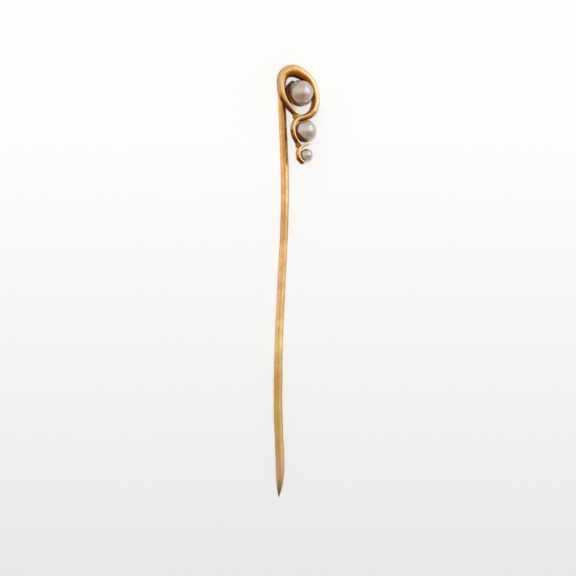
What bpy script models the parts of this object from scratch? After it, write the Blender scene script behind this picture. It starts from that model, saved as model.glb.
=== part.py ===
"""A short gold stick pin whose head is a scroll set with three graduated pearls.

World frame: metres, +Z up. The pin lies on its back on z = 0 with its point towards -Y. It rests
on its stem and on the right-hand back edge of the scroll, so the head leans to the right.

The head is drawn flat in a frame of its own: u across it, v up the pin, w out of its front, with
the scroll's flat back at w = 0 and the large pearl's peg at u = v = 0. The empty "head_frame" then
lays it over the stem. Every length below is in millimetres.
"""
import math

import bmesh
import bpy
import numpy as np
from mathutils import Matrix, Vector

MM = 0.001
GAP = 0.03  # between two pieces that solder or cement holds together

# Stem: centre line as (along the pin, sideways), from the point to the soldered end.
STEM_LINE = (
    (-30.0, -2.51),
    (-26.3, -2.33),
    (-20.7, -2.52),
    (-14.0, -2.60),
    (-2.7, -2.25),
    (13.6, -1.66),
    (21.2, -1.92),
    (28.3, -2.20),
)
STEM_RADIUS_TOP = 0.53
STEM_RADIUS_LOW = 0.62
POINT_LENGTH = 4.6
POINT_FULLNESS = 2.3  # 1 gives a cone, larger values a fuller ogive
POINT_STATIONS = (0.004, 0.06, 0.15, 0.3, 0.48, 0.7, 0.9)  # shares of the point's length
STEM_SIDES = 14
STEM_STATION_STEP = 1.1
STEM_OVERRUN = 1.0  # how far the stem's clearance runs past its end

# Scrolls: centre line points as (u, v, width).
MAIN_SCROLL = (
    (-0.52, -2.90, 0.44),
    (-1.52, -1.80, 0.56),
    (-2.30, -0.60, 0.64),
    (-2.58, 1.10, 0.88),
    (-2.24, 2.58, 1.30),
    (-1.05, 3.20, 1.60),
    (0.25, 2.77, 1.34),
    (1.45, 1.78, 1.02),
    (2.10, 0.30, 0.86),
    (2.25, -1.20, 0.84),
    (1.72, -2.58, 0.89),
    (0.62, -3.27, 0.84),
    (-0.35, -3.58, 0.60),
    (-0.92, -4.20, 0.34),
    (-1.06, -5.05, 0.28),
    (-0.80, -6.10, 0.27),
    (-0.30, -6.98, 0.27),
)
END_SCROLL = (
    (1.02, -6.92, 0.26),
    (0.42, -7.16, 0.30),
    (-0.12, -7.52, 0.32),
    (-0.35, -8.25, 0.28),
    (-0.20, -9.06, 0.27),
    (0.36, -9.62, 0.24),
)
MAIN_DEPTH = 1.80
END_DEPTH = 1.70
CROWN = 0.30  # how far the front of a scroll domes up, as a share of its width
EDGE_BREAK = 0.05
CROWN_POINTS = 5
MAIN_STATIONS = 84
END_STATIONS = 30

# Pearls, from the largest to the smallest: place in the head, radius across the pin and height
# of the centre, how much longer the pearl is along the pin, and the cup's rim radius and height.
SETTINGS = {
    "large": {
        "at": (0.0, 0.0), "pearl": 1.59, "centre": 2.05, "oval": 1.07, "rim": 1.57, "rim_top": 0.55,
    },
    "middle": {
        "at": (0.64, -5.22), "pearl": 1.35, "centre": 1.75, "oval": 1.07, "rim": 1.36, "rim_top": 0.75,
    },
    "small": {
        "at": (0.72, -8.55), "pearl": 0.84, "centre": 1.35, "oval": 1.04, "rim": 0.78, "rim_top": 0.62,
    },
}
BED = 0.12  # from a pearl to the dish of its cup, where the cement lies
CUP_WALL = 0.20
CUP_FOOT = 0.55  # radius of a cup's flat back, as a share of its rim
PEG_RADIUS = 0.25
PEG_CHAMFER = 0.06
HOLE_DEPTH = 1.1  # depth of a pearl's drilled hole, in pearl radii
PEARL_SEGMENTS = 24
CUP_SEGMENTS = 28
ARC_STEPS = 9

# Solder
SADDLE = {"length": 2.4, "width": 1.14, "height": 0.40}
SADDLE_AT = (-2.37, 1.20)
SADDLE_RINGS = ((0.0, 1.0), (0.5, 0.97), (1.0, 0.90))  # share of the height, share of the size
SADDLE_CORNER = 0.5  # 1 gives an oval block, smaller values a squarer one
SOLDER_LAYER = 0.095  # between the stem and the back of the scroll
BEADS = {
    "loop_solder": {"at": (-0.66, -3.22), "w": (0.15, 1.25), "radius": 0.22},
    "scroll_solder": {"at": (-0.38, -7.22), "w": (0.15, 1.25), "radius": 0.20},
    "large_cup_solder_left": {"at": (-1.88, 0.10), "w": (0.06, 0.50), "radius": 0.38},
    "large_cup_solder_right": {"at": (1.62, 0.00), "w": (0.06, 0.42), "radius": 0.30},
    "middle_cup_solder": {"at": (-0.80, -5.20), "w": (0.08, 0.70), "radius": 0.26},
    "small_cup_solder": {"at": (-0.16, -8.58), "w": (0.08, 0.52), "radius": 0.24},
}
BEAD_SIDES = 16
BEAD_RINGS = (-0.92, -0.6, 0.0, 0.6, 0.92)  # shares of half a bead's height
BEAD_TAPER = 0.75  # 0 gives a straight bead, 1 one that closes to a point at both ends

# How the head lies over the stem
HEAD_ROLL = math.radians(14.5)
HEAD_PITCH = math.radians(-3.5)
HEAD_PLACE = (0.17, 25.79)

SHARP_ANGLE = math.radians(35)

GOLD = {"colour": (0.80, 0.52, 0.24), "rough": 0.22, "metal": 1.0}
STEM_GOLD = {"colour": (0.76, 0.48, 0.19), "rough": 0.30, "metal": 1.0}
SOLDER = {"colour": (0.78, 0.60, 0.30), "rough": 0.35, "metal": 1.0}
CEMENT = {"colour": (0.23, 0.22, 0.15), "rough": 0.85, "metal": 0.0}
PEARL = {"colour": (0.82, 0.76, 0.74), "rough": 0.18, "metal": 0.0}


# ---------------------------------------------------------------- helpers


def clear_scene():
    for old in list(bpy.data.objects):
        bpy.data.objects.remove(old)


def make_material(name, look):
    material = bpy.data.materials.new(name)
    material.use_nodes = True
    shader = material.node_tree.nodes["Principled BSDF"]
    shader.inputs["Base Color"].default_value = (*look["colour"], 1.0)
    shader.inputs["Roughness"].default_value = look["rough"]
    shader.inputs["Metallic"].default_value = look["metal"]
    material.diffuse_color = (*look["colour"], 1.0)
    return material


def add_object(name, shape, look, parent):
    """Turn a bmesh drawn in millimetres into a named object in metres."""
    bmesh.ops.recalc_face_normals(shape, faces=shape.faces)
    bmesh.ops.scale(shape, vec=(MM, MM, MM), verts=shape.verts)
    mesh = bpy.data.meshes.new(name)
    shape.to_mesh(mesh)
    shape.free()
    mesh.shade_smooth()
    mesh.set_sharp_from_angle(angle=SHARP_ANGLE)
    thing = bpy.data.objects.new(name, mesh)
    bpy.context.scene.collection.objects.link(thing)
    thing.parent = parent
    if look:
        mesh.materials.append(make_material(name, look))
    return thing


def as_cutter(thing):
    thing.hide_render = True
    thing.display_type = "WIRE"
    return thing


def cut(thing, cutter):
    boolean = thing.modifiers.new("clear of " + cutter.name, "BOOLEAN")
    boolean.operation = "DIFFERENCE"
    boolean.solver = "EXACT"
    boolean.object = cutter


def smooth_curve(knots, values, where):
    """Natural cubic spline through values at knots, read at the places in where."""
    knots = np.asarray(knots, float)
    values = np.asarray(values, float)
    step = np.diff(knots)
    slope = np.diff(values, axis=0) / step[:, None]
    count = len(knots)
    system = np.eye(count)
    right = np.zeros_like(values)
    for i in range(1, count - 1):
        system[i, i - 1 : i + 2] = (step[i - 1], 2 * (step[i - 1] + step[i]), step[i])
        right[i] = 6 * (slope[i] - slope[i - 1])
    bend = np.linalg.solve(system, right)
    cell = np.clip(np.searchsorted(knots, where, side="right") - 1, 0, count - 2)
    span = step[cell][:, None]
    ahead = (knots[cell + 1] - where)[:, None] / span
    past = 1.0 - ahead
    curl = (ahead**3 - ahead) * bend[cell] + (past**3 - past) * bend[cell + 1]
    return ahead * values[cell] + past * values[cell + 1] + curl * span**2 / 6


def skin_rings(rings):
    """Closed tube through rings of points that all have the same number of points."""
    shape = bmesh.new()
    loops = [[shape.verts.new(point) for point in ring] for ring in rings]
    sides = len(loops[0])
    for near, far in zip(loops, loops[1:]):
        for i in range(sides):
            j = (i + 1) % sides
            shape.faces.new((near[i], near[j], far[j], far[i]))
    shape.faces.new(loops[0])
    shape.faces.new(reversed(loops[-1]))
    return shape


def turn_profile(profile, segments, at, oval=1.0):
    """Solid turned about the w axis through at, from a profile of (radius, w) points.

    A profile that starts and ends on the axis closes there in points. Otherwise it is a closed
    outline round a central hole. oval stretches the solid along v.
    """
    shape = bmesh.new()
    on_axis = profile[0][0] == 0.0
    rows = []
    for radius, w in profile:
        if radius == 0.0:
            rows.append([shape.verts.new((at[0], at[1], w))] * segments)
            continue
        row = []
        for i in range(segments):
            angle = 2 * math.pi * i / segments
            u = at[0] + radius * math.cos(angle)
            v = at[1] + radius * math.sin(angle) * oval
            row.append(shape.verts.new((u, v, w)))
        rows.append(row)
    pairs = list(zip(rows, rows[1:]))
    if not on_axis:
        pairs.append((rows[-1], rows[0]))
    for low, high in pairs:
        for i in range(segments):
            j = (i + 1) % segments
            corners = dict.fromkeys((low[i], low[j], high[j], high[i]))
            shape.faces.new(list(corners))
    return shape


def sphere_arc(radius, centre, from_r, to_r, below=True):
    """Points (r, w) on a sphere about (0, centre), evenly spaced in angle, from one r to another."""
    side = -1.0 if below else 1.0
    first = math.asin(from_r / radius)
    last = math.asin(to_r / radius)
    points = []
    for i in range(ARC_STEPS):
        angle = first + (last - first) * i / (ARC_STEPS - 1)
        points.append((radius * math.sin(angle), centre + side * radius * math.cos(angle)))
    return points


# ---------------------------------------------------------------- stem


def wire_radius(along):
    """Radius of the drawn wire, slightly fuller towards the point, before the point is ground."""
    share = (along - STEM_LINE[0][0]) / (STEM_LINE[-1][0] - STEM_LINE[0][0])
    return STEM_RADIUS_LOW + (STEM_RADIUS_TOP - STEM_RADIUS_LOW) * share


def stem_radius(along):
    """Radius of the finished stem, closing to the point in an ogive."""
    from_point = np.clip((along - STEM_LINE[0][0]) / POINT_LENGTH, 0.0, 1.0)
    return wire_radius(along) * (1.0 - (1.0 - from_point) ** POINT_FULLNESS)


def stem_centre(along):
    """Centre line points of the wire: bowed sideways, and lying on the table all along."""
    knots = [point[0] for point in STEM_LINE]
    side = smooth_curve(knots, [[point[1]] for point in STEM_LINE], along)[:, 0]
    return np.column_stack((side, along, wire_radius(along)))


def stem_shape(grow=0.0, extra=0.0):
    """The wire as a tube. grow fattens it and extra lengthens it, for a clearance cutter."""
    tip = STEM_LINE[0][0]
    top = STEM_LINE[-1][0]
    point = tip + POINT_LENGTH * np.array(POINT_STATIONS)
    shank = np.linspace(tip + POINT_LENGTH, top, round((top - tip) / STEM_STATION_STEP))
    along = np.concatenate((point, shank))
    centres = stem_centre(along)
    rings = []
    for i, centre in enumerate(centres):
        ahead = centres[min(i + 1, len(centres) - 1)] - centres[max(i - 1, 0)]
        direction = Vector(ahead).normalized()
        across = direction.cross(Vector((0, 0, 1))).normalized()
        up = across.cross(direction)
        radius = float(stem_radius(along[i])) + grow
        start = Vector(centre)
        if i == len(centres) - 1:
            start += direction * extra
        ring = []
        for k in range(STEM_SIDES):
            angle = 2 * math.pi * k / STEM_SIDES
            ring.append(start + (across * math.cos(angle) + up * math.sin(angle)) * radius)
        rings.append(ring)
    return skin_rings(rings)


# ---------------------------------------------------------------- scrolls


def scroll_stations(points, count):
    """Centre line, tangent and width of a scroll at evenly spaced stations."""
    points = np.asarray(points, float)
    chord = np.concatenate(([0.0], np.cumsum(np.hypot(*np.diff(points[:, :2], axis=0).T))))
    fine = smooth_curve(chord, points, np.linspace(0.0, chord[-1], count * 8))
    run = np.concatenate(([0.0], np.cumsum(np.hypot(*np.diff(fine[:, :2], axis=0).T))))
    even = np.linspace(0.0, run[-1], count)
    stations = np.column_stack([np.interp(even, run, fine[:, i]) for i in range(3)])
    tangent = np.gradient(stations[:, :2], axis=0)
    tangent /= np.hypot(tangent[:, 0], tangent[:, 1])[:, None]
    return stations, tangent


def scroll_section(width, depth, grow):
    """Band section as (sideways, w): flat back with broken edges, flat walls and a domed front."""
    half = width / 2 + grow
    rise = CROWN * width
    wall = depth - rise + grow
    outline = [(-half + EDGE_BREAK, -grow), (half - EDGE_BREAK, -grow), (half, EDGE_BREAK - grow)]
    for i in range(CROWN_POINTS + 2):
        side = 1.0 - 2.0 * i / (CROWN_POINTS + 1)
        outline.append((half * side, wall + rise * (1.0 - side * side)))
    outline.append((-half, EDGE_BREAK - grow))
    return outline


def scroll_shape(points, depth, stations, grow=0.0):
    """Sweep the band section along a scroll. grow fattens it all round, for a clearance cutter."""
    places, tangents = scroll_stations(points, stations)
    rings = []
    for i, ((u, v, width), (tu, tv)) in enumerate(zip(places, tangents)):
        if i == 0:
            u, v = u - tu * grow, v - tv * grow
        if i == len(places) - 1:
            u, v = u + tu * grow, v + tv * grow
        section = scroll_section(width, depth, grow)
        rings.append([(u - tv * side, v + tu * side, w) for side, w in section])
    return skin_rings(rings)


# ---------------------------------------------------------------- settings


def cup_back(setting):
    """Height of a cup's flat back above the scroll's back."""
    return setting["centre"] - setting["pearl"] - BED - CUP_WALL


def cup_shape(setting, grow=0.0):
    """Dished cup with a rim, and a hole in its middle for the peg."""
    dish = setting["pearl"] + BED
    rim_top = setting["rim_top"] + grow
    lip = math.sqrt(dish**2 - (setting["centre"] - setting["rim_top"]) ** 2)
    back = cup_back(setting) - grow
    rim = setting["rim"] + grow
    bore = PEG_RADIUS + GAP
    profile = sphere_arc(dish, setting["centre"], bore, lip)
    profile[-1] = (lip, rim_top)
    profile += [(rim, rim_top), (rim, rim_top - CUP_WALL - grow), (CUP_FOOT * rim, back), (bore, back)]
    return turn_profile(profile, CUP_SEGMENTS, setting["at"], setting["oval"])


def peg_top(setting):
    return setting["centre"] - setting["pearl"] * (1.0 - HOLE_DEPTH) - GAP


def peg_shape(setting):
    """Post from the cup's back up into the pearl, with a small chamfer at its top."""
    profile = [
        (0.0, cup_back(setting)),
        (PEG_RADIUS, cup_back(setting)),
        (PEG_RADIUS, peg_top(setting) - PEG_CHAMFER),
        (PEG_RADIUS - PEG_CHAMFER, peg_top(setting)),
        (0.0, peg_top(setting)),
    ]
    return turn_profile(profile, BEAD_SIDES, setting["at"])


def cement_shape(setting):
    """Thin bed between pearl and cup, thickening to a bead at the cup's lip."""
    centre = setting["centre"]
    inner = setting["pearl"] + GAP
    outer = setting["pearl"] + BED - GAP
    hole = PEG_RADIUS + GAP
    lip = math.sqrt((outer + GAP) ** 2 - (centre - setting["rim_top"]) ** 2)
    under = sphere_arc(outer, centre, hole, lip - 0.5 * BED)
    over = sphere_arc(inner, centre, hole, lip)
    profile = under + [(lip, setting["rim_top"] + GAP)] + over[::-1]
    return turn_profile(profile, CUP_SEGMENTS, setting["at"], setting["oval"])


def pearl_shape(setting):
    """Sphere with a blind drilled hole up from its underside."""
    radius = setting["pearl"]
    centre = setting["centre"]
    hole = PEG_RADIUS + GAP
    hole_end = peg_top(setting) + GAP
    lower = sphere_arc(radius, centre, hole, radius)
    upper = sphere_arc(radius, centre, radius, 0.0, below=False)
    upper[-1] = (0.0, centre + radius)
    profile = [(0.0, hole_end), (hole, hole_end)] + lower + upper[1:]
    return turn_profile(profile, PEARL_SEGMENTS, setting["at"], setting["oval"])


# ---------------------------------------------------------------- solder


def bead_shape(bead):
    """Small rounded blob of solder, thinner at both ends."""
    low, high = bead["w"]
    middle = 0.5 * (low + high)
    half = 0.5 * (high - low)
    profile = [(0.0, low)]
    for share in BEAD_RINGS:
        radius = bead["radius"] * math.sqrt(1.0 - BEAD_TAPER * share**2)
        profile.append((radius, middle + half * share))
    profile.append((0.0, high))
    return turn_profile(profile, BEAD_SIDES, bead["at"])


def saddle_shape():
    """Block of solder behind the loop, to be hollowed over the stem."""
    rings = []
    sides = BEAD_SIDES * 2
    for depth, share in SADDLE_RINGS:
        ring = []
        for i in range(sides):
            angle = 2 * math.pi * (i + 0.5) / sides
            cos = math.cos(angle)
            sin = math.sin(angle)
            u = 0.5 * SADDLE["width"] * share * math.copysign(abs(cos) ** SADDLE_CORNER, cos)
            v = 0.5 * SADDLE["length"] * share * math.copysign(abs(sin) ** SADDLE_CORNER, sin)
            w = -GAP - depth * (SADDLE["height"] - GAP)
            ring.append((SADDLE_AT[0] + u, SADDLE_AT[1] + v, w))
        rings.append(ring)
    return skin_rings(rings)


# ---------------------------------------------------------------- assembly


def make_frames():
    """The pin's own empty, and the head's empty that lays the flat head over the stem."""
    pin = bpy.data.objects.new("pin_frame", None)
    head = bpy.data.objects.new("head_frame", None)
    for empty in (pin, head):
        bpy.context.scene.collection.objects.link(empty)
    head.parent = pin
    turn = Matrix.Rotation(HEAD_ROLL, 4, "Y") @ Matrix.Rotation(HEAD_PITCH, 4, "X")
    # The back plane passes one wire radius and one layer of solder above the stem's centre line.
    along = np.array([HEAD_PLACE[1] + SADDLE_AT[1]])
    stem = Vector(stem_centre(along)[0])
    normal = turn.to_3x3() @ Vector((0, 0, 1))
    over = stem + normal * (STEM_RADIUS_TOP + SOLDER_LAYER)
    side, up = HEAD_PLACE
    height = over.z + ((over.x - side) * normal.x + (over.y - up) * normal.y) / normal.z
    head.matrix_local = Matrix.Translation(Vector((side, up, height)) * MM) @ turn
    return pin, head


def centre_on_origin(pin):
    """Move the pin so that the middle of its bounding box's underside is the world origin."""
    bpy.context.view_layer.update()
    corners = []
    for thing in bpy.context.scene.objects:
        if thing.type == "MESH" and not thing.hide_render:
            corners += [thing.matrix_world @ vertex.co for vertex in thing.data.vertices]
    corners = np.array(corners)
    low = corners.min(axis=0)
    high = corners.max(axis=0)
    pin.location = (-(low[0] + high[0]) / 2, -(low[1] + high[1]) / 2, -low[2])


def build():
    clear_scene()
    pin, head = make_frames()

    add_object("pin_stem", stem_shape(), STEM_GOLD, pin)
    add_object("main_scroll", scroll_shape(MAIN_SCROLL, MAIN_DEPTH, MAIN_STATIONS), GOLD, head)
    add_object("end_scroll", scroll_shape(END_SCROLL, END_DEPTH, END_STATIONS), GOLD, head)
    for size, setting in SETTINGS.items():
        add_object(size + "_cup", cup_shape(setting), GOLD, head)
        add_object(size + "_peg", peg_shape(setting), GOLD, head)
        add_object(size + "_cement", cement_shape(setting), CEMENT, head)
        add_object(size + "_pearl", pearl_shape(setting), PEARL, head)

    main_room = scroll_shape(MAIN_SCROLL, MAIN_DEPTH, MAIN_STATIONS, GAP)
    end_room = scroll_shape(END_SCROLL, END_DEPTH, END_STATIONS, GAP)
    room = {
        "stem": as_cutter(add_object("stem_room", stem_shape(GAP, STEM_OVERRUN), None, pin)),
        "main": as_cutter(add_object("main_scroll_room", main_room, None, head)),
        "end": as_cutter(add_object("end_scroll_room", end_room, None, head)),
    }
    for size, setting in SETTINGS.items():
        room[size] = as_cutter(add_object(size + "_cup_room", cup_shape(setting, GAP), None, head))

    cuts = {
        "loop_solder": ("main",),
        "scroll_solder": ("main", "end"),
        "large_cup_solder_left": ("main", "large"),
        "large_cup_solder_right": ("main", "large"),
        "middle_cup_solder": ("main", "middle"),
        "small_cup_solder": ("end", "small"),
    }
    for name, neighbours in cuts.items():
        bead = add_object(name, bead_shape(BEADS[name]), SOLDER, head)
        for neighbour in neighbours:
            cut(bead, room[neighbour])
    cut(add_object("stem_solder", saddle_shape(), SOLDER, head), room["stem"])

    centre_on_origin(pin)


build()
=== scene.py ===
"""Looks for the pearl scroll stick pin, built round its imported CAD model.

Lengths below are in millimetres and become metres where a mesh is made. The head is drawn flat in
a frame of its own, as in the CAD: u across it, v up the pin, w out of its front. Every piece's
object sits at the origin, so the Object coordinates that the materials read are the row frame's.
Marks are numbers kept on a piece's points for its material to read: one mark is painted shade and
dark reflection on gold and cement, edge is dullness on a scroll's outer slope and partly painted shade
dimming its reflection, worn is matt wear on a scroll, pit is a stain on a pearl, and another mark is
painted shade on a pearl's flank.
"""

import math

import bpy
import numpy as np
from mathutils import Matrix, Vector, noise


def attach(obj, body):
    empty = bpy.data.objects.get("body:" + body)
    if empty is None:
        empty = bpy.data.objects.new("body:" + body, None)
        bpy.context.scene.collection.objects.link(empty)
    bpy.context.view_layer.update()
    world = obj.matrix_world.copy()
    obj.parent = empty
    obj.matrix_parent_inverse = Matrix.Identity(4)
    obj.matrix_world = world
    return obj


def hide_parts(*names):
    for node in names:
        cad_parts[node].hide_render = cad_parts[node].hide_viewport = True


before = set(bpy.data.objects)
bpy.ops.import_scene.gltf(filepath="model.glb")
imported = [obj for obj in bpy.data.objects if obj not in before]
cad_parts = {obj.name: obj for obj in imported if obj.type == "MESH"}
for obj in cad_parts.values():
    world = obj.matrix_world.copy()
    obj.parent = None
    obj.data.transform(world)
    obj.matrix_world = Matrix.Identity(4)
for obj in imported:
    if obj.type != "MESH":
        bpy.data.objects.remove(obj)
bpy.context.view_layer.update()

MM = 0.001
SHARP_ANGLE = math.radians(50)

# First noise seed of each kind of piece. Every unevenness below is (height, size of its features),
# or several of those from coarse to fine.
SEEDS = {
    "stem": 1,
    "main_scroll": 3,
    "end_scroll": 5,
    "cup": 10,
    "bed": 14,
    "pearl": 18,
    "crust": 31,
    "shade_roll": 37,
    "bead": 40,
}

# Stem: centre line as (along the pin, sideways), and its place in the row frame. The trim leaves
# room for unevenness inside the wire's radius.
STEM_LINE = (
    (-30.0, -2.51),
    (-26.3, -2.33),
    (-20.7, -2.52),
    (-14.0, -2.60),
    (-2.7, -2.25),
    (13.6, -1.66),
    (21.2, -1.92),
    (28.3, -2.20),
)
STEM_SHIFT = (0.020, 0.060, -0.013)
STEM_RADIUS_TOP = 0.53
STEM_RADIUS_LOW = 0.62
STEM_TRIM = 0.985
STEM_UNEVENNESS = ((0.030, 2.2), (0.008, 0.5))
STEM_SIDES = 56
STEM_STEP = 0.16

# Ground point, whose rings start a little way up it and crowd towards its tip.
POINT_LENGTH = 4.6
POINT_FULLNESS = 2.3
POINT_START = 0.035
POINT_RINGS = 60
POINT_SPACING = 1.6

# Painted shade on the stem: where along it the head begins, and how dark its right side is painted
# beside the head, standing for the head's dark reflection, and below the head, each rising between two
# sideways parts of the outward direction.
STEM_BESIDE_HEAD = (12.5, 19.0)
BESIDE_PAINTED_REFLECTION = 0.6
BESIDE_RISE = (-0.75, -0.15)
RIGHT_PAINTED_SHADE = 0.22
RIGHT_RISE = (0.2, 0.8)

# Scrolls: centre line points as (u, v, width).
MAIN_SCROLL = (
    (-0.52, -2.90, 0.44),
    (-1.52, -1.80, 0.56),
    (-2.30, -0.60, 0.64),
    (-2.58, 1.10, 0.88),
    (-2.24, 2.58, 1.30),
    (-1.05, 3.20, 1.60),
    (0.25, 2.77, 1.34),
    (1.45, 1.78, 1.02),
    (2.10, 0.30, 0.86),
    (2.25, -1.20, 0.84),
    (1.72, -2.58, 0.89),
    (0.62, -3.27, 0.84),
    (-0.35, -3.58, 0.60),
    (-0.92, -4.20, 0.34),
    (-1.06, -5.05, 0.28),
    (-0.80, -6.10, 0.27),
    (-0.30, -6.98, 0.27),
)
END_SCROLL = (
    (1.02, -6.92, 0.26),
    (0.42, -7.16, 0.30),
    (-0.12, -7.52, 0.32),
    (-0.35, -8.25, 0.28),
    (-0.20, -9.06, 0.27),
    (0.36, -9.62, 0.24),
)
MAIN_DEPTH = 1.80
END_DEPTH = 1.70
MAIN_STATIONS = 520
END_STATIONS = 120
SCROLL_UNEVENNESS = ((0.016, 1.1), (0.005, 0.3))

# Scroll section: the crown's rise as a share of the width, full from a width up, the clearance
# inside the CAD's skin, the rounding of the back edges, at most a share of half the width, and
# how many steps each part takes.
CROWN = 0.42
CROWN_FULL_WIDTH = 0.9
INSET = 0.015
EDGE_ROUND = 0.07
EDGE_ROUND_MOST = 0.6
EDGE_STEPS = 4
WALL_STEPS = 6
CROWN_STEPS = 18

# Marks on a scroll. Pairs are where a mark starts and where it is full. Inner painted shade, which
# paints the dark reflection of pearl and cup, starts at a place across the band, sooner on a wide band
# and above a pearl, and is weaker right of a pearl.
WIDE_BAND = (0.35, 0.75)
INNER_START = 0.45
INNER_SOONER_WIDE = 0.50
INNER_SOONER_ABOVE = 0.85
INNER_PAINTED_SHADE = 0.95
INNER_LESS_RIGHT = 0.75
RIGHT_LESS_ABOVE = 0.6
STEEP = (0.35, 0.90)
# Walls turned down the pin get painted shade, standing for the shade on that side away from the light.
TURNED_DOWN = (0.04, 0.44)
TURNED_UP = (-0.10, 0.05)
# The low part of the band, towards its back, gets painted shade where shade falls.
LOW_PAINTED_SHADE = 0.20
LOW_PART = (0.2, 0.7)
# The outer slope's dullness is partly wear and partly painted shade that dims its reflection.
OUTER_DULLNESS = 0.6
OUTER_PART = (0.25, 0.95)
SCROLL_END_MARK = 0.7

# Settings: each pearl's place, radius, height of its middle and lengthening along v; its cup's
# radius and lip height; the way its painted shade on one flank faces; and its pits as (u, v, w, reach).
SETTINGS = {
    "large": {
        "at": (0.0, 0.0),
        "pearl": 1.59,
        "centre": 2.05,
        "oval": 1.07,
        "rim": 1.57,
        "rim_top": 0.55,
        "painted_flank_shade": (-0.65, -0.70, 0.10),
        "pits": ((0.13, -0.36, 0.92, 0.10), (0.37, -0.35, 0.86, 0.09), (0.30, 0.55, 0.75, 0.05)),
    },
    "middle": {
        "at": (0.64, -5.22),
        "pearl": 1.35,
        "centre": 1.75,
        "oval": 1.07,
        "rim": 1.36,
        "rim_top": 0.75,
        "painted_flank_shade": (0.15, -0.95, 0.10),
        "pits": ((-0.52, -0.26, 0.81, 0.07),),
    },
    "small": {
        "at": (0.72, -8.55),
        "pearl": 0.84,
        "centre": 1.35,
        "oval": 1.04,
        "rim": 0.78,
        "rim_top": 0.62,
        "painted_flank_shade": (0.30, -0.90, 0.10),
        "pits": ((-0.1, 0.5, 0.8, 0.04),),
    },
}
PEG_RADIUS = 0.25
GAP = 0.03
TURN_SIDES = 96

# Bed of cement: thickness, slack to pearl and cup, and the bead at the lip as (outward, up).
BED = 0.12
BED_SLACK = 0.009
BED_STEPS = 16
BED_OVERLAP = 0.02
BED_BEAD = ((0.06, 0.05), (0.03, 0.10))
BED_UNEVENNESS = (0.10, 0.25)

# Cup: the foot's radius is a share of the rim's, and painted shade runs from the dish over the lip.
CUP_WALL = 0.20
CUP_FOOT = 0.55
CUP_STEPS = 24
CUP_UNEVENNESS = (0.035, 0.5)
CUP_DISH_PAINTED_SHADE = 0.95
CUP_LIP_PAINTED_SHADE = [0.9, 0.85, 0.7, 0.7, 0.8, 0.9, 0.9]
LIP_ROUND = 0.03
LIP_DIP = 0.009

# Pearls: the size of the unevenness and the depth of the hole are shares of the radius.
PEARL_UNEVENNESS = ((0.04, 1.1), (0.006, 0.35))
PEARL_LOWER_STEPS = 40
PEARL_UPPER_STEPS = 48
PEARL_TIP = 0.008
PIT_DEPTH = 0.05
HOLE_DEPTH = 1.1
HOLE_TIP = 0.01
HOLE_ROUND = 0.02
# Painted shade on a pearl's flank: how dark, and where it rises along the way it faces.
FLANK_SHADE_STRENGTH = 0.80
FLANK_SHADE_RISE = (0.15, 0.90)

# Cement on the outside of a pearl: angles in degrees, thickness, and a mark that picks pale
# cement (0) or dark cement painted as shade (1).
CRUSTS = {
    "large_crust": {
        "size": "large",
        "around": (98.0, 172.0),
        "rise": (-52.0, 36.0),
        "thick": 0.17,
        "painted_shade": 0.0,
    },
    # A dark lump of painted shade, put where the middle pearl's cup lies in shade.
    "middle_painted_shade_crust": {
        "size": "middle",
        "around": (178.0, 272.0),
        "rise": (-60.0, 32.0),
        "thick": 0.16,
        "painted_shade": 1.0,
    },
}
CRUST_STEPS = 30
CRUST_SWELL = 0.6
CRUST_SUNK = 0.05
CRUST_RAGGED = 0.30
CRUST_RAG_STEP = 0.15
CRUST_UNEVENNESS = (0.12, 0.25)

# Shade roll: a roll of painted shade bent round the large cup, thinning towards both ends.
SHADE_ROLL_AROUND = (112.0, 222.0)
SHADE_ROLL_REACH = 1.74
SHADE_ROLL_HALF_WIDTH = 0.34
SHADE_ROLL_OVAL = 1.05
SHADE_ROLL_W = 0.62
SHADE_ROLL_HALF_HEIGHT = 0.26
SHADE_ROLL_SWELL = 0.4
SHADE_ROLL_SIDES = 24
SHADE_ROLL_STEPS = 70
SHADE_ROLL_UNEVENNESS = (0.10, 0.3)

# Solder: each bead's place, its foot and top, and its radius. Beads use every third side.
BEADS = {
    "loop_solder": {"at": (-0.52, -3.14), "w": (0.15, 1.66), "radius": 0.46},
    "scroll_solder": {"at": (-0.32, -7.12), "w": (0.15, 1.54), "radius": 0.33},
    "large_cup_solder_left": {"at": (-1.88, 0.10), "w": (0.06, 0.50), "radius": 0.34},
    "large_cup_solder_right": {"at": (1.66, 0.00), "w": (0.06, 0.42), "radius": 0.24},
    "middle_cup_solder": {"at": (-0.80, -5.20), "w": (0.08, 0.70), "radius": 0.22},
    "small_cup_solder": {"at": (-0.16, -8.58), "w": (0.08, 0.52), "radius": 0.20},
}
BEAD_STEPS = 24
BEAD_FULLNESS = 0.7
BEAD_SKIP = 3
BEAD_UNEVENNESS = (0.10, 0.25)

# Where the head's frame lies in the row frame.
HEAD_ROLL = math.radians(14.5)
HEAD_PITCH = math.radians(-3.5)
HEAD_AT = (0.190, 25.850, 0.641)
HEAD_TURN = Matrix.Rotation(HEAD_ROLL, 3, "Y") @ Matrix.Rotation(HEAD_PITCH, 3, "X")

# Camera, straight above the pin.
CAMERA_AT = (-1.206, -0.935, 420.0)
VIEW_WIDTH = 79.8
SENSOR = 36.0

# Sheet of paper, in metres, just under the pin so that the two never share a plane.
FLOOR_REACH = 3.0
FLOOR_DROP = 2e-6
FLOOR_CORNERS = ((-1, -1), (1, -1), (1, 1), (-1, 1))
# Paper colour at the point's end and at the head's end; the change between them is painted light
# falloff.
PAPER_LOW = (0.735, 0.735, 0.73)
PAPER_HIGH = (0.90, 0.897, 0.89)

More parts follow.
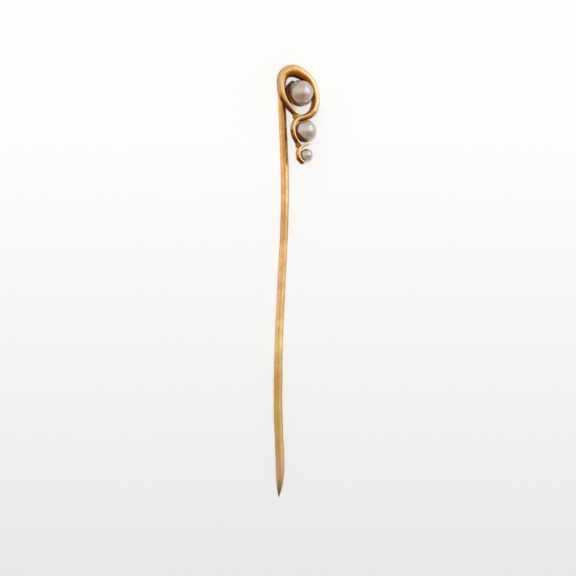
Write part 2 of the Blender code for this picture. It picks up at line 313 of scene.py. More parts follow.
# Studio that gold and pearl mirror. East is right of the pin, north is beyond its head and south
# beyond its point. The camera sees the backdrop instead, and the rest is lit by the ambient.
BACKDROP = (0.84, 0.84, 0.84)
AMBIENT = (0.33, 0.33, 0.33)
WEST_WALL = (1.12, 1.10, 1.08)
EAST_WALL = (1.34, 1.37, 1.42)
NORTH_WALL = (0.85, 0.84, 0.84)
SOUTH_WALL = (0.46, 0.38, 0.30)
WINDOW_COLOUR = (2.1, 2.4, 2.8)
WINDOW_TOWARDS = (0.84, 0.44, 0.31)
WINDOW_EDGE = (0.82, 0.97)
SCREEN_COLOUR = (0.06, 0.03, 0.015)
SCREEN_TOWARDS = (0.20, -0.42, 0.88)
SCREEN_EDGE = (0.85, 0.97)
ZENITH_COLOUR = (0.66, 0.62, 0.58)
OVERHEAD_POWER = 2.40
OVERHEAD_ANGLE = math.radians(7.0)


# ---------------------------------------------------------------- mesh helpers


def smooth_curve(knots, values, where):
    """Natural cubic spline through values at knots, read at the places in where."""
    knots = np.asarray(knots, float)
    values = np.asarray(values, float)
    step = np.diff(knots)
    slope = np.diff(values, axis=0) / step[:, None]
    count = len(knots)
    system = np.eye(count)
    right = np.zeros_like(values)
    for i in range(1, count - 1):
        system[i, i - 1 : i + 2] = (step[i - 1], 2 * (step[i - 1] + step[i]), step[i])
        right[i] = 6 * (slope[i] - slope[i - 1])
    bend = np.linalg.solve(system, right)
    cell = np.clip(np.searchsorted(knots, where, side="right") - 1, 0, count - 2)
    span = step[cell][:, None]
    ahead = (knots[cell + 1] - where)[:, None] / span
    past = 1.0 - ahead
    curl = (ahead**3 - ahead) * bend[cell] + (past**3 - past) * bend[cell + 1]
    return ahead * values[cell] + past * values[cell + 1] + curl * span**2 / 6


def unit(vectors):
    return vectors / np.linalg.norm(vectors, axis=-1, keepdims=True)


def smooth_step(low, high, value):
    share = np.clip((value - low) / (high - low), 0.0, 1.0)
    return share * share * (3.0 - 2.0 * share)


def roughened(points, outward, height, size, seed):
    """Points moved along outward by smooth noise of that height and feature size."""
    flat = points.reshape(-1, 3)
    shift = Vector((seed * 17.3, seed * 5.1, seed * 9.7))
    swell = [noise.noise(Vector(point) / size + shift) for point in flat]
    return points + outward * (height * np.array(swell)).reshape(points.shape[:-1] + (1,))


def skin(rings, ring_closed=False):
    """Faces over a grid of points, as rings of equal length. Ends are fans, unless rings wrap."""
    count, sides = rings.shape[:2]
    index = np.arange(count * sides).reshape(count, sides)
    near = index if ring_closed else index[:-1]
    far = np.roll(index, -1, axis=0) if ring_closed else index[1:]
    quads = np.stack((near, np.roll(near, -1, 1), np.roll(far, -1, 1), far), axis=-1)
    faces = quads.reshape(-1, 4).tolist()
    points = rings.reshape(-1, 3)
    if not ring_closed:
        first, last = count * sides, count * sides + 1
        points = np.vstack((points, rings[0].mean(axis=0), rings[-1].mean(axis=0)))
        for i in range(sides):
            j = (i + 1) % sides
            faces.append([int(index[0, j]), int(index[0, i]), first])
            faces.append([int(index[-1, i]), int(index[-1, j]), last])
    return points, faces


def with_ends(mark, end):
    """One mark per point of a skin with fan ends, whose two end points have the mark end."""
    return np.append(mark.ravel(), (end, end))


def from_head(points):
    """Head frame to row frame, both in millimetres."""
    return points @ np.array(HEAD_TURN).T + np.array(HEAD_AT)


def add_piece(name, points, faces, material, stands_for=(), marks=None):
    """A named piece from row-frame points in millimetres. marks are per-point numbers by name."""
    mesh = bpy.data.meshes.new(name)
    mesh.from_pydata((points * MM).tolist(), [], faces)
    mesh.materials.append(material)
    mesh.shade_smooth()
    mesh.set_sharp_from_angle(angle=SHARP_ANGLE)
    for mark, numbers in (marks or {}).items():
        layer = mesh.attributes.new(mark, "FLOAT", "POINT")
        layer.data.foreach_set("value", np.asarray(numbers, np.float32))
    piece = bpy.data.objects.new(name, mesh)
    bpy.context.scene.collection.objects.link(piece)
    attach(piece, "root")
    if stands_for:
        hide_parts(*stands_for)


# ---------------------------------------------------------------- node helpers


class Nodes:
    """Short calls for building one material's or world's node tree."""

    def __init__(self, owner, shader, coordinates):
        owner.use_nodes = True
        self.owner = owner
        self.tree = owner.node_tree
        self.shader = self.tree.nodes[shader]
        self.place = self.add("ShaderNodeTexCoord").outputs[coordinates]

    def add(self, kind, **settings):
        node = self.tree.nodes.new(kind)
        for key, value in settings.items():
            setattr(node, key, value)
        return node

    def join(self, source, target):
        if isinstance(source, bpy.types.NodeSocket):
            self.tree.links.new(source, target)
        else:
            target.default_value = source

    def axes(self):
        node = self.add("ShaderNodeSeparateXYZ")
        self.join(self.place, node.inputs["Vector"])
        return node.outputs

    def stretched(self, scale):
        node = self.add("ShaderNodeMapping")
        self.join(self.place, node.inputs["Vector"])
        node.inputs["Scale"].default_value = scale
        return node.outputs["Vector"]

    def noise(self, size, detail=3.0, rough=0.55, place=None, warp=0.0):
        """Noise from 0 to 1 whose features are about size millimetres across."""
        node = self.add("ShaderNodeTexNoise")
        self.join(place or self.place, node.inputs["Vector"])
        node.inputs["Scale"].default_value = 1.0 / (size * MM)
        node.inputs["Detail"].default_value = detail
        node.inputs["Roughness"].default_value = rough
        node.inputs["Distortion"].default_value = warp
        return node.outputs["Fac"]

    def ramp(self, value, start, end, smooth=False):
        """Number that goes from start to end, each (value, number), as value does."""
        node = self.add("ShaderNodeMapRange", clamp=True)
        if smooth:
            node.interpolation_type = "SMOOTHSTEP"
        numbers = (start[0], end[0], start[1], end[1])
        for socket, number in zip(("From Min", "From Max", "To Min", "To Max"), numbers):
            node.inputs[socket].default_value = number
        self.join(value, node.inputs["Value"])
        return node.outputs["Result"]

    def colours(self, value, *stops):
        """Colour from value through stops of (value, colour)."""
        node = self.add("ShaderNodeValToRGB")
        elements = node.color_ramp.elements
        elements[0].position, elements[0].color = stops[0][0], (*stops[0][1], 1.0)
        elements[1].position, elements[1].color = stops[-1][0], (*stops[-1][1], 1.0)
        for position, colour in stops[1:-1]:
            elements.new(position).color = (*colour, 1.0)
        self.join(value, node.inputs["Fac"])
        return node.outputs["Color"]

    def mix(self, share, first, second, mode="MIX"):
        node = self.add("ShaderNodeMix", data_type="RGBA", blend_type=mode)
        self.join(share, node.inputs["Factor"])
        for side, colour in (("A", first), ("B", second)):
            socket = [s for s in node.inputs if s.name == side and s.type == "RGBA"][0]
            self.join(colour if isinstance(colour, bpy.types.NodeSocket) else (*colour, 1.0), socket)
        return [s for s in node.outputs if s.type == "RGBA"][0]

    def patch(self, towards, low, high):
        """1 for directions near towards and 0 away from it, with a soft edge between two cosines."""
        node = self.add("ShaderNodeVectorMath", operation="DOT_PRODUCT")
        self.join(self.place, node.inputs[0])
        self.join(Vector(towards).normalized(), node.inputs[1])
        return self.ramp(node.outputs["Value"], (low, 0.0), (high, 1.0), smooth=True)

    def math(self, operation, first, second=0.0):
        node = self.add("ShaderNodeMath", operation=operation)
        self.join(first, node.inputs[0])
        self.join(second, node.inputs[1])
        return node.outputs["Value"]

    def mark(self, name):
        return self.add("ShaderNodeAttribute", attribute_name=name).outputs["Fac"]

    def bump(self, *layers):
        """Bump from (height, depth in millimetres) layers, into the shader's normal."""
        normal = None
        for height, depth in layers:
            node = self.add("ShaderNodeBump")
            node.inputs["Distance"].default_value = depth * MM
            self.join(height, node.inputs["Height"])
            if normal:
                self.join(normal, node.inputs["Normal"])
            normal = node.outputs["Normal"]
        self.join(normal, self.shader.inputs["Normal"])

    def set(self, **values):
        """Shader sockets by name, with _ for a space."""
        for name, value in values.items():
            socket = self.shader.inputs[name.replace("_", " ")]
            if isinstance(value, tuple) and len(value) == 3 and socket.type == "RGBA":
                value = (*value, 1.0)
            self.join(value, socket)


def new_material(name):
    return Nodes(bpy.data.materials.new(name), "Principled BSDF", "Object")


# ---------------------------------------------------------------- materials


def head_gold():
    """Hand-finished gold: bright along the crown, duller outside it, partly as painted shade, matt where
    worn, and painted dark brown and matt inside as painted shade and dark reflection. It is yellower
    down the pin."""
    n = new_material("head_gold")
    cloud = n.noise(0.9, 3.0, 0.6)
    grain = n.noise(0.09, 3.0, 0.6)
    toned = n.colours(
        cloud, (0.32, (0.68, 0.42, 0.17)), (0.52, (0.80, 0.53, 0.25)), (0.72, (0.86, 0.61, 0.32))
    )
    yellow = n.ramp(n.axes()["Y"], (0.0205, 0.85), (0.0235, 0.0))
    metal = n.mix(yellow, toned, (0.86, 0.61, 0.22))
    # The dull tan on the outer slope is partly wear and partly painted shade dimming its reflection.
    dulled = n.mix(n.mark("edge"), metal, (0.54, 0.43, 0.27))
    blotch = n.ramp(n.noise(0.35, 4.0, 0.65), (0.30, -0.20), (0.70, 0.16))
    mottled = n.math("MULTIPLY", blotch, n.ramp(n.mark("painted_shade"), (0.0, 0.3), (0.4, 1.0)))
    painted_shade = n.math("ADD", n.mark("painted_shade"), mottled)
    # Painted shade: the mark turns the gold dark brown where it stands for shade and dark reflections.
    tint = n.colours(
        painted_shade,
        (0.05, (1.0, 1.0, 1.0)),
        (0.40, (0.84, 0.56, 0.30)),
        (0.72, (0.46, 0.20, 0.06)),
        (1.00, (0.15, 0.050, 0.008)),
    )
    n.set(Base_Color=n.mix(1.0, dulled, tint, "MULTIPLY"))
    bare = n.ramp(n.mark("worn"), (0.0, 1.0), (1.0, 0.5))
    n.set(Metallic=n.math("MULTIPLY", bare, n.ramp(painted_shade, (0.5, 1.0), (0.9, 0.15))))
    polish = n.ramp(cloud, (0.35, 0.18), (0.7, 0.30))
    dull = n.math("MULTIPLY", n.mark("edge"), 0.25)
    matt = n.math("ADD", dull, n.math("MULTIPLY", n.mark("worn"), 0.35))
    clean = n.math("ADD", polish, matt)
    n.set(Roughness=n.math("ADD", clean, n.ramp(painted_shade, (0.2, 0.0), (0.9, 0.45))))
    n.set(Specular_IOR_Level=0.02, Specular_Tint=(0.86, 0.62, 0.36))
    n.bump((grain, 0.005), (cloud, 0.02))
    return n.owner


def stem_gold():
    """Drawn gold wire with lengthwise lines, tarnish in patches, and a dark point."""
    n = new_material("stem_gold")
    length = n.ramp(n.axes()["Y"], (-0.030, 0.0), (0.030, 1.0))
    drawn = n.noise(0.06, 3.0, 0.6, n.stretched((1.0, 0.05, 1.0)))
    patch = n.noise(1.1, 4.0, 0.65, n.stretched((1.0, 0.5, 1.0)), warp=0.4)
    speck = n.noise(0.30, 3.0, 0.6)
    zones = n.colours(
        length,
        (0.000, (0.15, 0.16, 0.09)),
        (0.016, (0.27, 0.26, 0.17)),
        (0.050, (0.70, 0.46, 0.31)),
        (0.110, (0.68, 0.46, 0.19)),
        (0.180, (0.68, 0.48, 0.18)),
        (0.270, (0.70, 0.43, 0.155)),
        (0.330, (0.84, 0.57, 0.24)),
        (0.355, (0.98, 0.77, 0.35)),
        (0.385, (0.97, 0.74, 0.33)),
        (0.425, (0.94, 0.62, 0.33)),
        (0.580, (0.95, 0.60, 0.30)),
        (0.640, (0.70, 0.43, 0.20)),
        (0.690, (0.92, 0.58, 0.27)),
        (0.760, (0.88, 0.54, 0.24)),
        (1.000, (0.88, 0.54, 0.22)),
    )
    stain = n.ramp(patch, (0.44, 0.0), (0.70, 0.50))
    dots = n.ramp(speck, (0.50, 0.0), (0.70, 0.45))
    stained = n.mix(stain, zones, (0.50, 0.30, 0.14))
    dotted = n.mix(dots, stained, (0.52, 0.30, 0.14))
    # Painted shade: the mark darkens the right side of the wire, most beside the head, where it paints
    # the head's dark reflection.
    n.set(Base_Color=n.mix(n.mark("painted_shade"), dotted, (0.40, 0.19, 0.03)), Metallic=1.0)
    matt = n.ramp(length, (0.62, 0.50), (0.76, 0.20))
    n.set(Roughness=n.math("ADD", matt, n.math("MULTIPLY", stain, 0.15)))
    n.set(Specular_Tint=(0.80, 0.55, 0.32))
    n.bump((drawn, 0.010), (speck, 0.008), (patch, 0.04))
    return n.owner


def solder_gold():
    """Gold solder with a pitted, once-molten skin and brown dirt in its hollows."""
    n = new_material("solder_gold")
    lump = n.noise(0.25, 4.0, 0.65)
    pits = n.noise(0.08, 3.0, 0.6)
    colour = n.colours(lump, (0.36, (0.26, 0.10, 0.02)), (0.60, (0.82, 0.45, 0.13)))
    n.set(Base_Color=colour, Metallic=1.0)
    n.set(Roughness=n.ramp(pits, (0.3, 0.30), (0.7, 0.50)), Specular_Tint=(0.70, 0.48, 0.25))
    n.bump((pits, 0.015), (lump, 0.02))
    return n.owner


def old_cement():
    """Crumbly setting cement, from a pale grey-brown crust to almost black painted shade low by the
    cups.
    """
    n = new_material("old_cement")
    blotch = n.noise(0.24, 4.0, 0.65)
    crumb = n.noise(0.08, 4.0, 0.7)
    pale = n.colours(
        blotch,
        (0.40, (0.035, 0.024, 0.013)),
        (0.47, (0.22, 0.165, 0.11)),
        (0.56, (0.52, 0.46, 0.39)),
    )
    # Painted shade: the almost black colour, picked by the mark, on the dark lumps set where shade falls
    # by the cups.
    deep = n.colours(blotch, (0.38, (0.035, 0.010, 0.002)), (0.62, (0.19, 0.060, 0.016)))
    n.set(Base_Color=n.mix(n.mark("painted_shade"), pale, deep))
    n.set(Roughness=n.ramp(crumb, (0.3, 0.60), (0.7, 0.95)), Specular_IOR_Level=0.1)
    n.bump((crumb, 0.03), (blotch, 0.05))
    return n.owner


def nacre():
    """Old pearl: cream and mauve in soft clouds, painted shade in brown low on a flank, pits and a
    glossy skin.
    """
    n = new_material("nacre")
    cloud = n.noise(1.5, 2.0, 0.5)
    vein = n.noise(0.45, 3.0, 0.55, warp=0.6)
    grain = n.noise(0.12, 2.0, 0.5)
    body = n.colours(
        cloud, (0.36, (0.46, 0.28, 0.17)), (0.52, (0.48, 0.33, 0.24)), (0.68, (0.46, 0.37, 0.34))
    )
    veined = n.mix(n.ramp(vein, (0.50, 0.0), (0.75, 0.35)), body, (0.54, 0.24, 0.11))
    # Painted shade: a brown mix on the flank where the pearl's lower side falls in shade.
    flank_shaded = n.mix(n.mark("painted_flank_shade"), veined, (0.24, 0.15, 0.075))
    n.set(Base_Color=n.mix(n.mark("pit"), flank_shaded, (0.13, 0.08, 0.05)))
    n.set(Roughness=n.ramp(vein, (0.3, 0.20), (0.7, 0.32)))
    n.set(IOR=2.9, Specular_Tint=(0.84, 0.95, 1.0), Coat_Weight=0.8, Coat_IOR=1.6, Coat_Roughness=0.18)
    n.set(Subsurface_Weight=0.15, Subsurface_Radius=(1.0, 0.75, 0.6), Subsurface_Scale=0.0004)
    n.bump((grain, 0.0015), (vein, 0.006))
    return n.owner


# ---------------------------------------------------------------- stem


def stem_rings():
    """Centre points, outward directions and radii of the wire's rings, denser along the point."""
    tip = STEM_LINE[0][0]
    top = STEM_LINE[-1][0]
    point = tip + POINT_LENGTH * np.linspace(POINT_START, 1.0, POINT_RINGS) ** POINT_SPACING
    along = np.concatenate((point, np.arange(point[-1] + STEM_STEP, top, STEM_STEP), [top]))
    share = (along - tip) / (top - tip)
    wire = STEM_RADIUS_LOW + (STEM_RADIUS_TOP - STEM_RADIUS_LOW) * share
    ground = 1.0 - (1.0 - np.clip((along - tip) / POINT_LENGTH, 0.0, 1.0)) ** POINT_FULLNESS
    side = smooth_curve([p[0] for p in STEM_LINE], [[p[1]] for p in STEM_LINE], along)[:, 0]
    centre = np.column_stack((side, along, wire)) + np.array(STEM_SHIFT)
    ahead = unit(np.gradient(centre, axis=0))
    across = unit(np.cross(ahead, (0.0, 0.0, 1.0)))
    up = np.cross(across, ahead)
    angle = np.linspace(0.0, 2 * math.pi, STEM_SIDES, endpoint=False)
    outward = across[:, None] * np.cos(angle)[None, :, None] + up[:, None] * np.sin(angle)[None, :, None]
    return centre, outward, wire * ground


def make_stem(material):
    """The whole wire. Its right side is painted dark beside the head, as a painted reflection of the
    head, and slightly darker below it, as painted shade.
    """
    centre, outward, radius = stem_rings()
    rings = centre[:, None] + outward * (radius * STEM_TRIM)[:, None, None]
    fade = np.clip(radius / STEM_RADIUS_TOP, 0.0, 1.0)[:, None, None]
    for i, (height, size) in enumerate(STEM_UNEVENNESS):
        rings = roughened(rings, outward * fade, height, size, SEEDS["stem"] + i)
    rings[..., 2] = np.maximum(rings[..., 2], 0.0)
    by_head = smooth_step(*STEM_BESIDE_HEAD, rings[..., 1])
    rightward = outward[..., 0]
    beside = BESIDE_PAINTED_REFLECTION * by_head * smooth_step(*BESIDE_RISE, rightward)
    painted_shade = np.maximum(beside, RIGHT_PAINTED_SHADE * smooth_step(*RIGHT_RISE, rightward))
    points, faces = skin(rings)
    marks = {"painted_shade": with_ends(painted_shade, 0.0)}
    add_piece("stem", points, faces, material, ("pin_stem",), marks)


# ---------------------------------------------------------------- scrolls


def scroll_stations(points, count):
    """Centre line, tangent and width of a scroll at evenly spaced stations."""
    points = np.asarray(points, float)
    chord = np.concatenate(([0.0], np.cumsum(np.hypot(*np.diff(points[:, :2], axis=0).T))))
    fine = smooth_curve(chord, points, np.linspace(0.0, chord[-1], count * 4))
    run = np.concatenate(([0.0], np.cumsum(np.hypot(*np.diff(fine[:, :2], axis=0).T))))
    even = np.linspace(0.0, run[-1], count)
    stations = np.column_stack([np.interp(even, run, fine[:, i]) for i in range(3)])
    return stations, unit(np.gradient(stations[:, :2], axis=0))


def scroll_section(width, depth):
    """Band section as (sideways, w): flat back, rounded edges, flat walls and a domed front."""
    half = width / 2 - INSET
    rise = CROWN * width * min(1.0, width / CROWN_FULL_WIDTH)
    wall = depth - rise
    edge = min(EDGE_ROUND, half * EDGE_ROUND_MOST)
    right = []
    for i in range(EDGE_STEPS + 1):
        turn = math.radians(-90 + 90 * i / EDGE_STEPS)
        right.append((half - edge + edge * math.cos(turn), INSET + edge + edge * math.sin(turn)))
    for i in range(1, WALL_STEPS):
        right.append((half, edge + (wall - edge) * i / WALL_STEPS))
    front = []
    for i in range(CROWN_STEPS + 1):
        turn = math.pi * i / CROWN_STEPS
        front.append((half * math.cos(turn), wall + rise * math.sin(turn)))
    left = [(-sideways, w) for sideways, w in reversed(right)]
    return np.array(right + front + left)


def scroll_marks(rings, outward, stations, depth):
    """Per-point painted shade, dullness and wear of a scroll. Painted shade, standing for shade and dark
    reflections, is heaviest down the side that faces a pearl, mostly above and left of it, then on
    walls turned down the pin, and lighter low towards the back. The outer slope is dull, partly as
    painted shade that dims its reflection, and the other walls are worn to a matt skin."""
    middles = np.array([setting["at"] for setting in SETTINGS.values()])
    reach = middles[None] - stations[:, None, :2]
    nearest = np.argmin(np.linalg.norm(reach, axis=-1), axis=1)
    toward = unit(reach[np.arange(len(stations)), nearest])
    aside = rings[..., :2] - stations[:, None, :2]
    share = (aside * toward[:, None]).sum(axis=-1) / (stations[:, 2] / 2)[:, None]
    above = np.clip(-toward[:, 1], 0.0, 1.0)[:, None]
    right = np.clip(-toward[:, 0], 0.0, 1.0)[:, None]
    wide = smooth_step(*WIDE_BAND, stations[:, 2])[:, None]
    start = INNER_START - wide * (INNER_SOONER_WIDE + INNER_SOONER_ABOVE * above)
    inner = smooth_step(start, 1.0, share)
    inner = inner * (INNER_PAINTED_SHADE - INNER_LESS_RIGHT * right * (1.0 - RIGHT_LESS_ABOVE * above))
    steep = smooth_step(*STEEP, 1.0 - outward[..., 2])
    below = steep * smooth_step(*TURNED_DOWN, -outward[..., 1])
    low = LOW_PAINTED_SHADE * (1.0 - smooth_step(*LOW_PART, rings[..., 2] / depth))
    # Painted shade: the dark side toward a pearl, walls turned down, and the low back.
    painted_shade = np.maximum(np.maximum(inner, below), low)
    edge = OUTER_DULLNESS * wide * smooth_step(*OUTER_PART, -share)
    worn = steep * smooth_step(*TURNED_UP, outward[..., 1]) * (1.0 - inner)
    marks = {"painted_shade": painted_shade, "edge": edge, "worn": worn}
    return {name: with_ends(mark, SCROLL_END_MARK) for name, mark in marks.items()}


def make_scroll(name, path, depth, count, material, node):
    """A band on edge along path, as (u, v, width) points, with count rings of its section."""
    stations, tangents = scroll_stations(path, count)
    rings = []
    outward = []
    for (u, v, width), (tu, tv) in zip(stations, tangents):
        section = scroll_section(width, depth)
        rings.append(np.column_stack((u - tv * section[:, 0], v + tu * section[:, 0], section[:, 1])))
        run = np.roll(section, -1, axis=0) - np.roll(section, 1, axis=0)
        out = unit(np.column_stack((run[:, 1], -run[:, 0])))
        outward.append(np.column_stack((-tv * out[:, 0], tu * out[:, 0], out[:, 1])))
    rings = np.array(rings)
    outward = np.array(outward)
    marks = scroll_marks(rings, outward, stations, depth)
    for i, (height, size) in enumerate(SCROLL_UNEVENNESS):
        rings = roughened(rings, outward, height, size, SEEDS[node] + i)
    points, faces = skin(rings)
    add_piece(name, from_head(points), faces, material, (node,), marks)


# ---------------------------------------------------------------- settings


def turned(profile, at, oval=1.0):
    """Rings of points from a profile of (radius, w), turned about the w axis through at."""
    angle = np.linspace(0.0, 2 * math.pi, TURN_SIDES, endpoint=False)
    rings = []
    for radius, w in profile:
        u = at[0] + radius * np.cos(angle)
        v = at[1] + radius * np.sin(angle) * oval
        rings.append(np.column_stack((u, v, np.full(TURN_SIDES, w))))
    return np.array(rings)


def sphere_arc(radius, centre, from_r, to_r, below, steps):
    """Points (r, w) on a sphere about (0, centre), evenly spaced in angle, from one r to another."""
    side = -1.0 if below else 1.0
    angle = np.linspace(math.asin(from_r / radius), math.asin(min(to_r / radius, 1.0)), steps)
    return [(radius * math.sin(a), centre + side * radius * math.cos(a)) for a in angle]


def cup_back(setting):
    return setting["centre"] - setting["pearl"] - BED - CUP_WALL


def make_cup(size, setting, material, seed):
    """Dished cup of even thickness with a softened lip, bored for the peg."""
    dish = setting["pearl"] + BED
    rim = setting["rim"]
    rim_top = setting["rim_top"]
    back = cup_back(setting)
    bore = PEG_RADIUS + GAP
    lip = math.sqrt(dish**2 - (setting["centre"] - rim_top) ** 2)
    inside = sphere_arc(dish, setting["centre"], bore, lip - LIP_ROUND, True, CUP_STEPS)
    outside = [
        (lip, rim_top - LIP_DIP),
        (lip + LIP_ROUND, rim_top),
        (rim - LIP_ROUND, rim_top),
        (rim, rim_top - LIP_ROUND),
        (rim, rim_top - CUP_WALL),
        (CUP_FOOT * rim, back),
        (bore, back),
    ]
    rings = turned(inside + outside, setting["at"], setting["oval"])
    middle = np.array((*setting["at"], 0.0))
    outward = unit((rings - middle) * (1.0, 1.0, 0.0))
    rings = roughened(rings, outward, *CUP_UNEVENNESS, seed)
    points, faces = skin(rings, ring_closed=True)
    marks = {"painted_shade": np.repeat([CUP_DISH_PAINTED_SHADE] * len(inside) + CUP_LIP_PAINTED_SHADE, TURN_SIDES)}
    add_piece(size + "_bowl", from_head(points), faces, material, (size + "_cup",), marks)


def make_bed(size, setting, material, seed):
    """Cement between pearl and cup, with a crumbly bead at the lip."""
    centre = setting["centre"]
    rim_top = setting["rim_top"]
    inner = setting["pearl"] + BED_SLACK
    outer = setting["pearl"] + BED - BED_SLACK
    hole = PEG_RADIUS + GAP
    lip = math.sqrt(outer**2 - (centre - rim_top) ** 2)
    under = sphere_arc(outer, centre, hole, lip, True, BED_STEPS)
    over = sphere_arc(inner, centre, hole, lip + BED_OVERLAP, True, BED_STEPS)
    bead = [(lip + out, rim_top + up) for out, up in BED_BEAD]
    rings = turned(under + bead + over[::-1], setting["at"], setting["oval"])
    # Only the bead and the two rings on each side of it are lumpy.
    upward = np.zeros_like(rings)
    upward[BED_STEPS - 2 : BED_STEPS + 4, :, 2] = 1.0
    rings = roughened(rings, upward, *BED_UNEVENNESS, seed)
    points, faces = skin(rings, ring_closed=True)
    add_piece(size + "_bed", from_head(points), faces, material, (size + "_cement",))


def make_pearl(size, setting, material, seed):
    """Half-drilled pearl, a little out of round, with pits and painted shade on one flank."""
    radius = setting["pearl"] - INSET
    centre = setting["centre"]
    hole = PEG_RADIUS + GAP
    hole_end = centre - radius * (1.0 - HOLE_DEPTH)
    bore = [(HOLE_TIP, hole_end), (hole - HOLE_ROUND, hole_end), (hole, hole_end - HOLE_ROUND)]
    lower = sphere_arc(radius, centre, hole, radius, True, PEARL_LOWER_STEPS)
    upper = sphere_arc(radius, centre, radius, PEARL_TIP, False, PEARL_UPPER_STEPS)
    rings = turned(bore + lower + upper[1:], setting["at"], setting["oval"])
    middle = np.array((*setting["at"], centre))
    outward = unit(rings - middle)
    painted_flank_shade = FLANK_SHADE_STRENGTH * smooth_step(*FLANK_SHADE_RISE, outward @ unit(np.array(setting["painted_flank_shade"])))
    outward[: len(bore)] = 0.0
    for i, (height, share) in enumerate(PEARL_UNEVENNESS):
        rings = roughened(rings, outward, height, radius * share, seed + i)
    depth = np.zeros(rings.shape[:2])
    for u, v, w, reach in setting["pits"]:
        spot = middle + unit(np.array((u, v, w))) * radius
        away = np.linalg.norm(rings - spot, axis=-1)
        depth = np.maximum(depth, np.exp(-((away / reach) ** 2)))
    rings = rings - outward * (PIT_DEPTH * depth)[..., None]
    points, faces = skin(rings)
    marks = {"pit": with_ends(depth, 0.0), "painted_flank_shade": with_ends(painted_flank_shade, 0.0)}
    node = size + "_pearl"
    add_piece(size + "_pearl_bead", from_head(points), faces, material, (node,), marks)


def taper(i, count):
    """Swelling of ring i in a lump of count rings: 1 in the middle, almost 0 at the ends."""
    return math.sin(math.pi * (i + 0.6) / (count + 0.2))


def make_crust(name, crust, material, seed):
    """Lumpy cement that has climbed out of a cup over its pearl's flank. around is its stretch
    about the pearl and rise its reach below and above the pearl's widest part, in degrees."""
    setting = SETTINGS[crust["size"]]
    radius = setting["pearl"]
    middle = np.array((*setting["at"], setting["centre"]))
    flank = np.radians(np.linspace(*crust["rise"], CRUST_STEPS))
    bulge = np.sin(np.linspace(0.0, math.pi, CRUST_STEPS)) ** CRUST_SWELL
    under = np.full(CRUST_STEPS, radius - CRUST_SUNK)
    turns = np.radians(np.linspace(*crust["around"], 2 * CRUST_STEPS))
    rings = []
    for i, turn in enumerate(turns):
        swell = taper(i, len(turns)) ** CRUST_SWELL
        ragged = swell * (1.0 + CRUST_RAGGED * noise.noise(Vector((CRUST_RAG_STEP * i, seed, 0.0))))
        rise = (flank - flank.mean()) * ragged + flank.mean()
        out = np.concatenate((radius + crust["thick"] * swell * bulge, under))
        tilt = np.concatenate((rise, rise[::-1]))
        aside = out * np.cos(tilt)
        u = aside * math.cos(turn)
        v = setting["oval"] * aside * math.sin(turn)
        rings.append(np.column_stack((u, v, out * np.sin(tilt))))
    rings = middle + np.array(rings)
    outward = unit(rings - middle)
    outward[:, CRUST_STEPS:] = 0.0
    rings = roughened(rings, outward, *CRUST_UNEVENNESS, seed)
    points, faces = skin(rings)
    marks = {"painted_shade": np.full(len(points), crust["painted_shade"])}
    add_piece(name, from_head(points), faces, material, (), marks)


def make_shade_roll(material, seed):
    """Dark roll of painted shade packed between the large cup and the left side of the loop."""
    angle = np.linspace(0.0, 2 * math.pi, SHADE_ROLL_SIDES, endpoint=False)
    turns = np.radians(np.linspace(*SHADE_ROLL_AROUND, SHADE_ROLL_STEPS))
    rings = []
    for i, turn in enumerate(turns):
        swell = taper(i, len(turns)) ** SHADE_ROLL_SWELL
        reach = SHADE_ROLL_REACH + SHADE_ROLL_HALF_WIDTH * swell * np.cos(angle)
        w = SHADE_ROLL_W + SHADE_ROLL_HALF_HEIGHT * swell * np.sin(angle)
        rings.append(np.column_stack((reach * math.cos(turn), SHADE_ROLL_OVAL * reach * math.sin(turn), w)))
    rings = np.array(rings)
    outward = unit(rings - rings.mean(axis=1, keepdims=True))
    rings = roughened(rings, outward, *SHADE_ROLL_UNEVENNESS, seed)
    points, faces = skin(rings)
    marks = {"painted_shade": np.ones(len(points))}
    add_piece("large_shade_roll", from_head(points), faces, material, (), marks)


# ---------------------------------------------------------------- solder


def make_bead(name, bead, material, seed):
    """Upright lump of solder between two heights."""
    low, high = bead["w"]
    profile = []
    for i in range(1, BEAD_STEPS):
        turn = math.pi * i / BEAD_STEPS
        radius = bead["radius"] * math.sin(turn) ** BEAD_FULLNESS
        profile.append((radius, (low + high) / 2 - (high - low) / 2 * math.cos(turn)))
    rings = turned(profile, bead["at"])[:, ::BEAD_SKIP]
    middle = np.array((*bead["at"], (low + high) / 2))
    rings = roughened(rings, unit(rings - middle), *BEAD_UNEVENNESS, seed)
    points, faces = skin(rings)
    add_piece(name + "_bead", from_head(points), faces, material, (name,))


# ---------------------------------------------------------------- stage


def make_floor():
    """Sheet of white paper under the pin, painted a little greyer towards the point as painted light
    falloff.
    """
    n = new_material("paper")
    # Painted light falloff: the paper's colour darkens towards the point.
    tone = n.ramp(n.axes()["Y"], (-0.045, 0.0), (0.020, 1.0))
    n.set(Base_Color=n.mix(tone, PAPER_LOW, PAPER_HIGH))
    n.set(Roughness=0.9, Specular_IOR_Level=0.1)
    mesh = bpy.data.meshes.new("floor")
    corners = [(x * FLOOR_REACH, y * FLOOR_REACH, -FLOOR_DROP) for x, y in FLOOR_CORNERS]
    mesh.from_pydata(corners, [], [(0, 1, 2, 3)])
    mesh.materials.append(n.owner)
    floor = bpy.data.objects.new("floor", mesh)
    bpy.context.scene.collection.objects.link(floor)


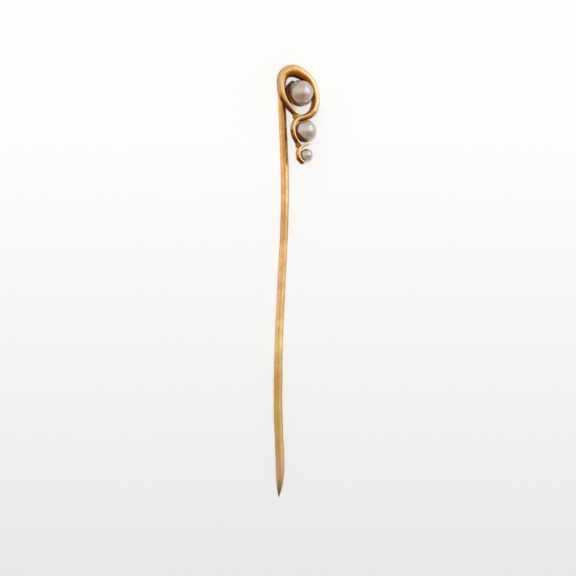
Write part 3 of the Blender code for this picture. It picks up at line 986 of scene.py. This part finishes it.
def make_world():
    """Plain studio. Gold and pearl mirror bright walls to the sides, a softer one beyond the head,
    a window to the right, a dull wall down the pin with a dark screen overhead on that side, and a
    dimmer ceiling. The paper is lit evenly and the backdrop is pale."""
    n = Nodes(bpy.data.worlds.new("studio"), "Background", "Generated")
    east, north = n.axes()[:2]
    sides = n.mix(n.ramp(east, (-0.5, 0.0), (0.4, 1.0)), WEST_WALL, EAST_WALL)
    walls = n.mix(n.ramp(north, (0.35, 0.0), (0.85, 1.0), smooth=True), sides, NORTH_WALL)
    lit = n.mix(n.patch(WINDOW_TOWARDS, *WINDOW_EDGE), walls, WINDOW_COLOUR)
    south = n.ramp(north, (0.10, 0.0), (-0.35, 1.0), smooth=True)
    shaded = n.mix(south, lit, SOUTH_WALL)
    room = n.mix(n.patch(SCREEN_TOWARDS, *SCREEN_EDGE), shaded, SCREEN_COLOUR)
    aside = n.math("SQRT", n.math("ADD", n.math("POWER", east, 2.0), n.math("POWER", north, 2.0)))
    overhead = n.ramp(aside, (0.06, 1.0), (0.34, 0.0), smooth=True)
    seen = n.mix(overhead, room, n.mix(1.0, room, ZENITH_COLOUR, "MULTIPLY"))
    rays = n.add("ShaderNodeLightPath").outputs
    reflected = n.mix(rays["Is Glossy Ray"], AMBIENT, seen)
    n.set(Color=n.mix(rays["Is Camera Ray"], reflected, BACKDROP))
    bpy.context.scene.world = n.owner


def make_light():
    """Soft light straight from above, which gold and pearl do not mirror."""
    lamp = bpy.data.lights.new("overhead", "SUN")
    lamp.angle = OVERHEAD_ANGLE
    lamp.energy = OVERHEAD_POWER
    holder = bpy.data.objects.new("overhead", lamp)
    holder.visible_glossy = False
    bpy.context.scene.collection.objects.link(holder)


def make_camera():
    """Narrow camera straight above, whose view is VIEW_WIDTH across at the ground."""
    data = bpy.data.cameras.new("camera")
    data.sensor_width = SENSOR
    data.lens = SENSOR * CAMERA_AT[2] / VIEW_WIDTH
    camera = bpy.data.objects.new("camera", data)
    camera.location = Vector(CAMERA_AT) * MM
    bpy.context.scene.collection.objects.link(camera)
    bpy.context.scene.camera = camera


def build():
    """Every piece, the CAD's own pegs and stem solder in their looks, and the stage."""
    gold = head_gold()
    solder = solder_gold()
    cement = old_cement()
    pearl = nacre()

    make_stem(stem_gold())
    make_scroll("loop_scroll", MAIN_SCROLL, MAIN_DEPTH, MAIN_STATIONS, gold, "main_scroll")
    make_scroll("tail_scroll", END_SCROLL, END_DEPTH, END_STATIONS, gold, "end_scroll")
    for i, (size, setting) in enumerate(SETTINGS.items()):
        make_cup(size, setting, gold, SEEDS["cup"] + i)
        make_bed(size, setting, cement, SEEDS["bed"] + i)
        make_pearl(size, setting, pearl, SEEDS["pearl"] + 2 * i)
        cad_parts[size + "_peg"].material_slots[0].material = gold
    for i, (name, crust) in enumerate(CRUSTS.items()):
        make_crust(name, crust, cement, SEEDS["crust"] + i)
    make_shade_roll(cement, SEEDS["shade_roll"])
    for i, (name, bead) in enumerate(BEADS.items()):
        make_bead(name, bead, solder, SEEDS["bead"] + i)
    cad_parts["stem_solder"].material_slots[0].material = solder

    make_floor()
    make_world()
    make_light()
    make_camera()
    bpy.context.scene.view_settings.view_transform = "Standard"


build()
